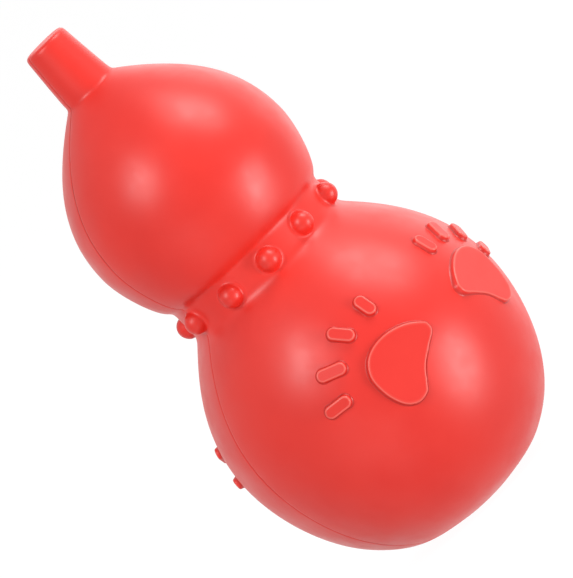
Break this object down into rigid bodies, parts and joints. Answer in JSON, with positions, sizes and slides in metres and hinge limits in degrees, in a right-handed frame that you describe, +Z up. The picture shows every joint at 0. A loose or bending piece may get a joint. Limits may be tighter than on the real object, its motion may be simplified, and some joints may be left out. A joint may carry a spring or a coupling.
{
  "type": "dog toy",
  "caption": "Hollow rubber dog chew toy shaped like a gourd, with a stem, a nubbed waist, raised paw prints and a squeaker in its flat base.",
  "frame": {"origin": "middle of the flat base, on the floor", "axes": "+Z up along the toy's axis to the stem's tip, the bond line of the two rubber halves in the plane y = 0, front half towards -Y"},
  "size_m": [0.0748, 0.0776, 0.141],
  "materials": {
    "red_rubber": "satin moulded natural rubber",
    "white_plastic": "satin moulded plastic",
    "reed_plastic": "smooth thin film"
  },
  "bodies": {
    "toy_body": {"front_shell": "red_rubber", "back_shell": "red_rubber", "squeaker_body": "white_plastic", "squeaker_cap": "white_plastic", "reed_block": "white_plastic", "reed_clamp": "white_plastic"},
    "reed": {"reed": "reed_plastic"}
  },
  "joints": [
    {"name": "reed_flex", "type": "hinge", "parent": "toy_body", "child": "reed", "pos_m": [0, 0, 0.0097], "axis": [1, 0, 0], "range_deg": [-3.5, 3.5], "stiffness_Nm_per_rad": 0.005}
  ]
}
